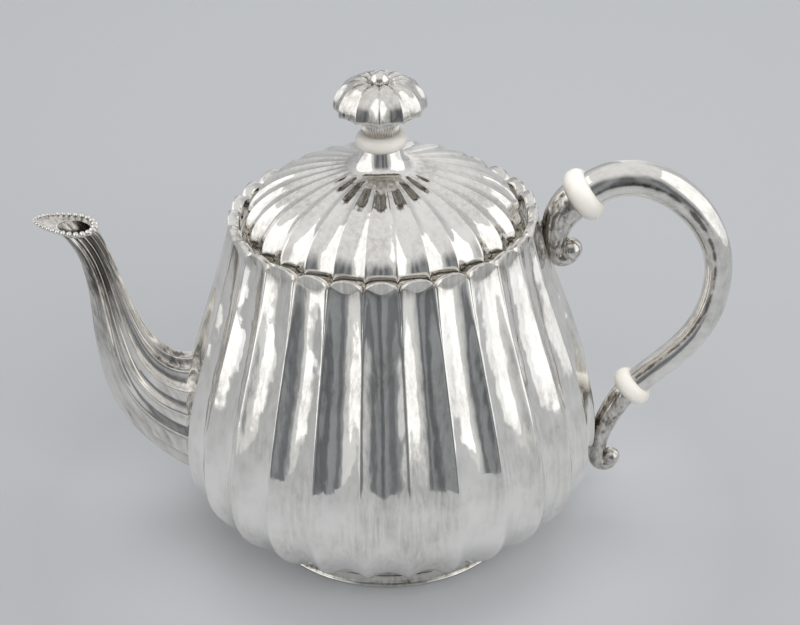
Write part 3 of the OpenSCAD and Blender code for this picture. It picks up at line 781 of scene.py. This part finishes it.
class TEAPOT_OT_handle(bpy.types.Operator):
    """Bend the hollow handle tube between the two white rings"""
    bl_idname = "teapot.handle"
    bl_label = "Handle"

    def execute(self, context):
        h = context.scene.teapot_handle
        (start, start_angle), (end, end_angle) = ring_face("upper", 1), ring_face("lower", 1)
        side = np.array((h.reach, h.side_height))
        top = [start, start + lean(start_angle) * 0.022, side + (0, 0.0234), side]
        low = [side, side - (0, 0.025), end + lean(end_angle) * 0.0137, end]
        t = np.linspace(0, 1, 81)
        path = np.concatenate([cubic(top, t), cubic(low, t)[:, 1:]], 1)
        way = np.concatenate([cubic_way(top, t), cubic_way(low, t)[:, 1:]], 1)
        s = np.linspace(0, 2, path.shape[1])
        radius = mix(h.upper_radius, h.lower_radius, smooth((s - 0.3) / 0.75))
        piece = bent_tube("handle_tube", path, way, radius)

        def painted_inner_reflection(points):
            """Painted reflection: a dark streak along the inner front of the bend, with painted
            shade beside it.
            """
            x, y, z = points.T
            near = np.argmin((x[:, None] - path[0]) ** 2 + (z[:, None] - path[1]) ** 2, 1)
            (px, pz), (way_x, way_z) = path[:, near], way[:, near]
            inward = (x - px) * way_z - (z - pz) * way_x
            turn = np.degrees(np.arctan2(inward, -y)) - 22 + 28 * way_x
            return 1.35 * np.exp(-(turn / 7.5) ** 2) + 0.32 * smooth(turn / 12)

        # Painted shade where the tube meets the white rings, over a faint even darkening.
        stain_and_shade(piece, [((start[0], 0, start[1]), 0.008, 0.45), ((end[0], 0, end[1]), 0.007, 0.5)],
              0.18, painted_inner_reflection)
        dress(piece, POT, "silver", silver("drawn"), "handle_loop")
        return {"FINISHED"}


def white_ring(end, node):
    """A turned bone ring with a rounded rim, set square to the handle's line."""
    x, z, angle, radius, width, face = ring_sizes(end)
    w = width / 2
    side = rounded_rim(face + 0.0002, radius - face, w, 1.15)
    outline = [(0, -w), (face * 0.7, -w), *side, (face * 0.7, w), (0, w)]
    piece = turned(f"{end}_white_ring", outline, 96, 40)
    stand = Matrix.Rotation(np.pi / 2 - angle, 4, "Y")
    piece.data.transform(Matrix.Translation((x, 0, z)) @ stand)
    way = lean(angle) * w
    # Painted shade by both faces, where the ring meets the silver.
    stain_and_shade(piece, [((x + k * way[0], 0, z + k * way[1]), face * 1.12, 0.55) for k in (-1, 1)])
    dress(piece, POT, "bone", bone(), node)


class TEAPOT_OT_white_rings(bpy.types.Operator):
    """Turn the two white rings that keep the handle cool"""
    bl_idname = "teapot.white_rings"
    bl_label = "White rings"

    def execute(self, context):
        white_ring("upper", "upper_insulator")
        white_ring("lower", "lower_insulator")
        return {"FINISHED"}


def scroll_socket(end, node, arm_r, tip_r, gap, curl_r, bend, pad):
    """A cast arm that rolls up into a ball, with a pad behind it soldered into one flute."""
    h, form = bpy.context.scene.teapot_handle, BodyForm()
    start, angle = ring_face(end, -1)
    ball_r, curl_z = getattr(h, end + "_ball"), getattr(h, end + "_scroll")
    curl_x = float(form.ridge(form.at(curl_z))[0]) + gap
    left = np.array((curl_x - curl_r, curl_z))
    ball = (curl_x + curl_r * 0.85, curl_z + 0.0002)
    arm = [start, start - lean(angle + np.radians(10)) * bend, left + (-0.0007, bend * 1.4), left]
    t = np.linspace(0, 1, 50)
    roll = np.linspace(0, 1, 40)[1:]
    a = np.radians(180 + 150 * roll)
    curl = np.array((curl_x + curl_r * np.cos(a), curl_z + curl_r * np.sin(a)))
    path = np.concatenate([cubic(arm, t), curl], 1)
    way = np.concatenate([cubic_way(arm, t), np.array((-np.sin(a), np.cos(a)))], 1)
    way[:, 0] = -lean(angle)
    radius = np.concatenate([mix(arm_r, tip_r, t ** 1.6), mix(tip_r, tip_r * 0.9, roll)])
    pieces = [bent_tube(end + "_scroll", path, way, radius),
              solid(bpy.ops.mesh.primitive_uv_sphere_add, segments=48, ring_count=32,
                    radius=ball_r, location=(ball[0], 0, ball[1]))]
    low, high, wide = pad       # its ends above the curl, and its width
    for z in np.linspace(curl_z + low, curl_z + high, 7):
        reach = float(form.surface(1.0, 0.0, z)) - 0.0005
        pieces.append(solid(bpy.ops.mesh.primitive_cylinder_add, vertices=32, radius=wide / 2,
                            depth=left[0] - reach, location=((left[0] + reach) / 2, 0, z),
                            rotation=(0, np.pi / 2, 0)))
    piece = join(end + "_scroll", pieces)
    remesh = piece.modifiers.new("cast", "REMESH")
    remesh.mode = "VOXEL"
    remesh.voxel_size = 0.00022
    bpy.ops.object.modifier_apply(modifier=remesh.name)
    soften = piece.modifiers.new("soften", "SMOOTH")
    soften.iterations = 5
    bpy.ops.object.modifier_apply(modifier=soften.name)
    bpy.ops.object.shade_smooth()
    # Painted shade behind the arm against the body, in the gap between the ball and the arm and
    # by the white ring; the whole casting is darker besides.
    stain_and_shade(piece, [((left[0], 0, curl_z + (low + high) / 2), 0.009, 0.55),
                  ((ball[0] - ball_r, 0, ball[1] + ball_r * 0.3), 0.0016, 0.9),
                  ((start[0], 0, start[1]), 0.005, 0.8)], 0.62)
    dress(piece, POT, "silver", silver("cast"), node)


class TEAPOT_OT_sockets(bpy.types.Operator):
    """Cast the two scrolled sockets and solder them to the body"""
    bl_idname = "teapot.sockets"
    bl_label = "Handle sockets"

    def execute(self, context):
        scroll_socket("upper", "upper_socket", gap=0.0050, tip_r=0.0035, curl_r=0.0030,
                      arm_r=context.scene.teapot_handle.upper_radius + 0.0003,
                      bend=0.0063, pad=(0.002, 0.009, 0.004))
        scroll_socket("lower", "lower_socket", gap=0.0092, tip_r=0.0029, curl_r=0.0027,
                      arm_r=0.0044, bend=0.008, pad=(0.004, 0.014, 0.0036))
        return {"FINISHED"}


# -------- the lid

def dome_curve():
    """The dome's outer profile at its ridges, from the neck down to the edge."""
    d = bpy.context.scene.teapot_lid
    edge = bpy.context.scene.teapot_body.rim_height - d.drop
    top = edge + d.rise
    return [(d.neck_base, top), (d.neck_base + 0.0175, top - 0.0025),
            (d.radius, edge + d.rise * 0.643), (d.radius, edge)]


class TEAPOT_OT_lid(bpy.types.Operator):
    """Raise the fluted dome of the lid"""
    bl_idname = "teapot.lid"
    bl_label = "Lid"

    def execute(self, context):
        d = context.scene.teapot_lid
        b = context.scene.teapot_body
        dome = dome_curve()
        top_z, edge_z = dome[0][1], dome[3][1]
        around, u = flute_columns(b.flutes, 14)

        def skin(t, inset=0.0):
            t = t[:, None]
            line = cubic(dome, t)
            depth = d.flute_depth * line[0] / d.radius * smooth((line[0] - 0.0108) / 0.0055)
            return line - square(cubic_way(dome, t)) * (depth * fluting(u) + inset)

        flare = 0.0012
        edge = (d.radius + 0.0002, edge_z - d.skirt)
        outer = 1 - np.linspace(0, 1, 71)[1:] ** 1.1
        inner = np.linspace(0, 1, 26)[1:-1]
        piece = ringed("lid_cover", around, [
            edge, (d.radius + flare, edge_z - d.skirt), skin(outer),
            (d.neck_base, top_z - d.wall), skin(inner, d.wall), edge], 24)

        def painted_neck_shade(points):
            """Painted shade where the flutes run up to the neck, under the flower."""
            return 0.18 * smooth((0.0225 - np.hypot(points[:, 0], points[:, 1])) / 0.008)

        # Painted reflection of the knob: two dark patches on the front of the dome, below the
        # flower.
        spots = [((0.0165 * np.sin(a), -0.0165 * np.cos(a), top_z - 0.002), 0.0042, 0.6)
                 for a in (-0.5, 0.5)]
        stain_and_shade(piece, spots, 0.0, painted_neck_shade)
        dress(piece, LID, "silver", silver("raised"), "lid_dome")
        return {"FINISHED"}


class TEAPOT_OT_knob(bpy.types.Operator):
    """Turn the neck, the white ring, the ribbed collar, the flower and its bead"""
    bl_idname = "teapot.knob"
    bl_label = "Knob"

    def neck(self, d):
        base, top = d.neck_base + 0.0010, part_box("lid_neck")[1][2] + d.ring_lift
        t = np.linspace(0, 0.3, 301)
        line = cubic(dome_curve(), t)
        at = int(np.searchsorted(line[0], base))
        foot = line[1][at] + 0.00001
        back = cubic_way(dome_curve(), t)[:, at] * 0.62 * (base - d.neck_radius)
        curve = [(base, foot), (base - back[0], foot - back[1]),
                 (d.neck_radius + 0.0008, top - 0.0042), (d.neck_radius, top)]
        out = cubic(curve, np.linspace(0, 1, 41)).T
        inside = [(KNOB_BORE, top), (KNOB_BORE, top - 0.0012),
                  (d.neck_radius - 0.0008, top - 0.0012)]
        under = cubic(curve, np.linspace(0.8, 0.0, 12)).T - 0.0007
        outline = [*out, *inside, *under, (base - 0.001, foot - d.wall), out[0]]
        piece = turned("lid_neck_silver", outline, 128, 40)
        # Painted shade at the top of the neck, under the white ring.
        stain_and_shade(piece, [((0, 0, top), d.neck_radius * 1.15, 0.5)], 0.03)
        dress(piece, LID, "silver", silver("cast"), "lid_neck")

    def white_ring(self, d):
        low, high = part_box("knob_insulator")
        bottom, top = low[2] + d.ring_lift, high[2] - 0.0005
        face, middle, half = d.neck_radius - 0.0002, (bottom + top) / 2, (top - bottom) / 2
        side = rounded_rim(face, high[0] + 0.0002 - face, half, 1.25, middle)
        bore = KNOB_BORE - SEAM
        outline = [(bore, bottom), *side, (bore, top), (bore, bottom)]
        piece = turned("knob_white_ring", outline, 96, 40)
        # Painted shade by both faces, where the ring meets the neck and the collar.
        stain_and_shade(piece, [((0, 0, z), face * 1.1, 0.5) for z in (bottom, top)])
        dress(piece, LID, "bone", bone(), "knob_insulator")

    def collar(self, d):
        low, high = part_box("knob_collar")
        bottom, top = low[2] - 0.0005, high[2]
        bevel, rib_h, per_rib = 0.00025, 0.00028, 8
        around = np.linspace(0, 2 * np.pi, d.ribs * per_rib + 1)
        wall = high[0] - rib_h
        ribbed = wall + rib_h * (0.5 + 0.5 * np.cos(around * d.ribs))
        piece = ringed("ribbed_collar", around, [
            (KNOB_BORE, bottom), (wall - bevel, bottom), (ribbed, bottom + bevel),
            (ribbed, (bottom + top) / 2), (ribbed, top - bevel), (wall - bevel, top),
            (KNOB_BORE, top), (KNOB_BORE, bottom)], 60)
        # Painted shade along the collar's lower edge, over the white ring; the whole collar is
        # darker besides.
        stain_and_shade(piece, [((high[0] * np.cos(a), high[0] * np.sin(a), bottom), 0.0016, 0.9)
                      for a in np.linspace(0, 2 * np.pi, 25)], 0.25)
        dress(piece, LID, "silver", silver("cast"), "knob_collar")

    def flower(self, d):
        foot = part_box("knob_flower")[0][2]
        top = foot + d.flower_height
        bead_low, bead_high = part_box("knob_bead")
        hole, seat = bead_high[0] + 0.0003, bead_low[2] - SEAM
        curve = [(hole, top - 0.0012), (d.flower_radius * 0.46, top + 0.0032),
                 (d.flower_radius + 0.0008, foot + 0.0076), (d.flower_radius - 0.0003, foot)]
        hub_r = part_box("knob_collar")[1][0] - 0.0006
        around, u = flute_columns(d.petals, 16)

        def skin(t, inset=0.0):
            t = t[:, None]
            bulge = 0.0007 * smooth(t / 0.12) * smooth((0.62 - t) / 0.4)
            depth = (d.petal_depth * smooth((t - 0.1) / 0.6) - bulge) * fluting(u, 0.03)
            return cubic(curve, t) - square(cubic_way(curve, t)) * (depth + inset)

        outer = np.linspace(1, 0, 41)
        bloom = ringed("bloom", around, [
            skin(outer), (hole, seat - 0.0004), (hole, seat - 0.0008),
            skin(np.linspace(0.12, 0.99, 16), 0.0009), skin(outer[:1])], 35)
        bloom.data.transform(Matrix.Rotation(np.pi / d.petals, 4, "Z"))
        hub = turned("hub", [(KNOB_BORE, foot + 0.001), (hub_r, foot + 0.001), (hub_r, seat),
                             (KNOB_BORE, seat), (KNOB_BORE, foot + 0.001)], 64)
        piece = join("flower", [bloom, hub])

        def painted_petal_shade(points):
            """Painted shade low on the petals, under their bulge, and in the creases between
            them.
            """
            x, y, z = points.T
            off = abs((np.arctan2(y, x) * d.petals / (2 * np.pi) + 0.5) % 1 - 0.5)
            crease = np.exp(-(off / 0.09) ** 2) * smooth((0.0135 - np.hypot(x, y)) / 0.004)
            return np.maximum(0.78 * smooth((foot + 0.0056 - z) / 0.004), 0.85 * crease)

        # Painted shade round the bead's seat; the whole flower is darker besides.
        stain_and_shade(piece, [((0, 0, seat), 0.0075, 0.95)], 0.24, painted_petal_shade)
        dress(piece, LID, "silver", silver("cast"), "knob_flower")

    def bead(self):
        low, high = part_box("knob_bead")
        r = high[0]
        centre = high[2] - r
        start = -np.degrees(np.arcsin((centre - low[2]) / r))
        piece = turned("crown_bead", [(0, low[2]), *bow((0, centre), (r, r), start, 90, 24)], 64)
        # Painted shade at the bead's foot, in its seat.
        stain_and_shade(piece, [((0, 0, low[2]), r, 0.5)])
        dress(piece, LID, "silver", silver("cast"), "knob_bead")

    def execute(self, context):
        d = context.scene.teapot_lid
        for make in (self.neck, self.white_ring, self.collar, self.flower):
            make(d)
        self.bead()
        return {"FINISHED"}


class TEAPOT_OT_inner_parts(bpy.types.Operator):
    """Finish the floor, rim collar, flange, strainer, pins and knob fixings"""
    bl_idname = "teapot.inner_parts"
    bl_label = "Inner parts"

    def execute(self, context):
        tarnished = {"base_plate": 0.3, "rim_collar": 0.2, "lid_flange": 0.55,
                     "spout_strainer": 0.5, "upper_pins": 0.3, "lower_pins": 0.3}
        for name, dark in tarnished.items():
            coat(bpy.data.objects[name], material(f"{name}_silver", dulled_silver, dark))
        for name in ("knob_bolt", "knob_washer", "knob_nut"):
            coat(bpy.data.objects[name], material("turned_metal", turned_metal))
        return {"FINISHED"}


# -------- the stage

def softbox(name, place, aim, width, height, glow, mirrored):
    """A flat lamp that is only mirrored, or only lights; its face's glow is 1 for white."""
    data = bpy.data.lights.new(name, "AREA")
    data.shape = "RECTANGLE"
    data.size, data.size_y = width, height
    data.energy = glow * np.pi * width * height
    lamp = bpy.data.objects.new(name, data)
    lamp.location = place
    lamp.rotation_euler = (Vector(aim) - Vector(place)).to_track_quat("-Z", "Y").to_euler()
    lamp.visible_camera = False
    lamp.visible_glossy = mirrored
    lamp.visible_diffuse = not mirrored
    bpy.context.scene.collection.objects.link(lamp)


# How bright the room's walls are round the object: degrees from the front, brightness.
ROOM = ((-180, 0.40), (180, 0.40), (-150, 0.56), (-118, 0.66), (-60, 0.74), (-48, 0.72),
        (-39, 0.70), (-36, 0.30), (-30, 0.27), (-27, 0.15), (-17, 0.17), (-14, 0.27), (-3, 0.30),
        (1, 0.14), (9, 0.12), (12, 0.25), (19, 0.28), (22, 0.14), (28, 0.16), (31, 0.42),
        (42, 0.72), (118, 0.66), (150, 0.54))


class TEAPOT_OT_stage(bpy.types.Operator):
    """Set the pale floor, the softboxes, the room's light and the camera"""
    bl_idname = "teapot.stage"
    bl_label = "Stage"

    def floor(self):
        deselect()
        bpy.ops.mesh.primitive_circle_add(vertices=96, radius=8, fill_type="NGON",
                                          location=(0, 0, -0.00002))
        floor = bpy.context.object
        floor.name = "floor"
        paper, g, finish = fresh("floor_paper")
        place = g.place()
        back = g.add("SeparateXYZ", Vector=place).outputs["Y"]
        away = g.add("VectorMath", {"operation": "LENGTH"}, Vector=place).outputs["Value"]
        seen = g.add("LightPath").outputs["Is Camera Ray"]
        # Painted light: the floor is lighter towards the back, standing in for the lamps'
        # falloff, and lighter in a ring round the pot, standing in for the light that the silver
        # throws down; camera rays see a narrower ring.
        pale = opaque(finish.floor, 1.4)
        painted_falloff = g.blend(g.ramp(back, -0.1, 1), opaque(finish.floor), pale)
        near = g.ramp(away, g.ramp(seen, 0, 1, 0.26, 0.13), 0.05)
        shell = g.add("BsdfPrincipled", Base_Color=g.blend(near, painted_falloff, pale), Roughness=0.8)
        past = g.maths("LESS_THAN", back, -0.28)
        gone = g.maths("SUBTRACT", past, seen, clamp=True)
        cut = g.add("MixShader", _0=gone, _1=shell.outputs[0],
                    _2=g.add("BsdfTransparent").outputs[0])
        g.add("OutputMaterial", Surface=cut.outputs[0])
        coat(floor, paper)

    def room(self):
        """A pale ceiling over a room that is darker in front and a little darker behind."""
        world = bpy.data.worlds.new("room")
        bpy.context.scene.world = world
        world.use_nodes = True
        g = Graph(world.node_tree)
        split = g.add("SeparateXYZ", Vector=g.add("TexCoord").outputs["Generated"])
        front = g.maths("MULTIPLY", split.outputs["Y"], -1)
        turn = g.maths("ARCTAN2", split.outputs["X"], front)
        walls = g.add("ValToRGB", Fac=g.ramp(turn, -np.pi, np.pi))
        stops = walls.color_ramp.elements
        for stop, (degrees, glow) in zip((*stops, *(stops.new(0.5) for _ in ROOM[2:])), ROOM):
            stop.position = degrees / 360 + 0.5
            stop.color = (glow * mix(0.93, 1, glow), glow * 0.99, glow * mix(1.08, 0.95, glow), 1)
        rise = g.ramp(split.outputs["Z"], 0.35, 0.85, interpolation_type="SMOOTHSTEP")
        glow = g.blend(rise, walls.outputs["Color"], (0.82, 0.82, 0.82, 1))
        g.add("OutputWorld", Surface=g.add("Background", Color=glow).outputs[0])

    def camera(self):
        data = bpy.data.cameras.new("camera")
        data.sensor_width = 36
        data.lens = 86.22
        data.clip_start = 0.01
        camera = bpy.data.objects.new("camera", data)
        place, aim = Vector((0.0146, -0.58387, 0.41505)), Vector((0.00491, 0.00012, 0.08517))
        look = (aim - place).to_track_quat("-Z", "Y").to_matrix().to_4x4()
        roll = Matrix.Rotation(np.radians(-1.338), 4, "Z")
        camera.matrix_world = Matrix.Translation(place) @ look @ roll
        bpy.context.scene.collection.objects.link(camera)
        bpy.context.scene.camera = camera

    def execute(self, context):
        self.floor()
        self.room()
        for name, place, aim, size, glow, mirrored in (
                ("left_panel", (-0.75, 0.02, 0.56), (0, 0.02, 0.56), (1.35, 1.1), 0.6, True),
                ("right_panel", (0.60, -0.10, 0.40), (0, -0.10, 0.40), (0.92, 0.80), 0.6, True),
                ("top_fill", (0.05, 0.20, 0.9), (0.05, 0.19, 0), (0.7, 0.7), 1.8, False),
                ("front_fill", (0.30, -0.85, 0.75), (0.2, -0.4, 0), (0.8, 0.6), 3.7, False)):
            softbox(name, place, aim, *size, glow, mirrored)
        self.camera()
        context.scene.view_settings.view_transform = "Standard"
        return {"FINISHED"}


class TEAPOT_PT_panel(bpy.types.Panel):
    """Lists the steps that build the teapot"""
    bl_idname = "TEAPOT_PT_panel"
    bl_label = "Teapot"
    bl_space_type = "VIEW_3D"
    bl_region_type = "UI"
    bl_category = "Teapot"

    def draw(self, context):
        for step in STEPS:
            self.layout.operator(step.bl_idname)


GROUPS = {"teapot_body": BodySizes, "teapot_lid": LidSizes, "teapot_spout": SpoutSizes,
          "teapot_handle": HandleSizes, "teapot_finish": Finish}
STEPS = (TEAPOT_OT_body, TEAPOT_OT_foot, TEAPOT_OT_spout, TEAPOT_OT_lip, TEAPOT_OT_sockets,
         TEAPOT_OT_white_rings, TEAPOT_OT_handle, TEAPOT_OT_lid, TEAPOT_OT_knob,
         TEAPOT_OT_inner_parts, TEAPOT_OT_stage)


def register():
    for name, group in GROUPS.items():
        bpy.utils.register_class(group)
        setattr(bpy.types.Scene, name, PointerProperty(type=group))
    for kind in (*STEPS, TEAPOT_PT_panel):
        bpy.utils.register_class(kind)


def unregister():
    for kind in reversed((*STEPS, TEAPOT_PT_panel)):
        bpy.utils.unregister_class(kind)
    for name, group in reversed(GROUPS.items()):
        delattr(bpy.types.Scene, name)
        bpy.utils.unregister_class(group)


def main():
    register()
    bpy.ops.teapot.body()
    bpy.ops.teapot.foot()
    bpy.ops.teapot.spout()
    bpy.ops.teapot.lip()
    bpy.ops.teapot.sockets()
    bpy.ops.teapot.white_rings()
    bpy.ops.teapot.handle()
    bpy.ops.teapot.lid()
    bpy.ops.teapot.knob()
    bpy.ops.teapot.inner_parts()
    bpy.ops.teapot.stage()


if __name__ == "__main__":
    main()
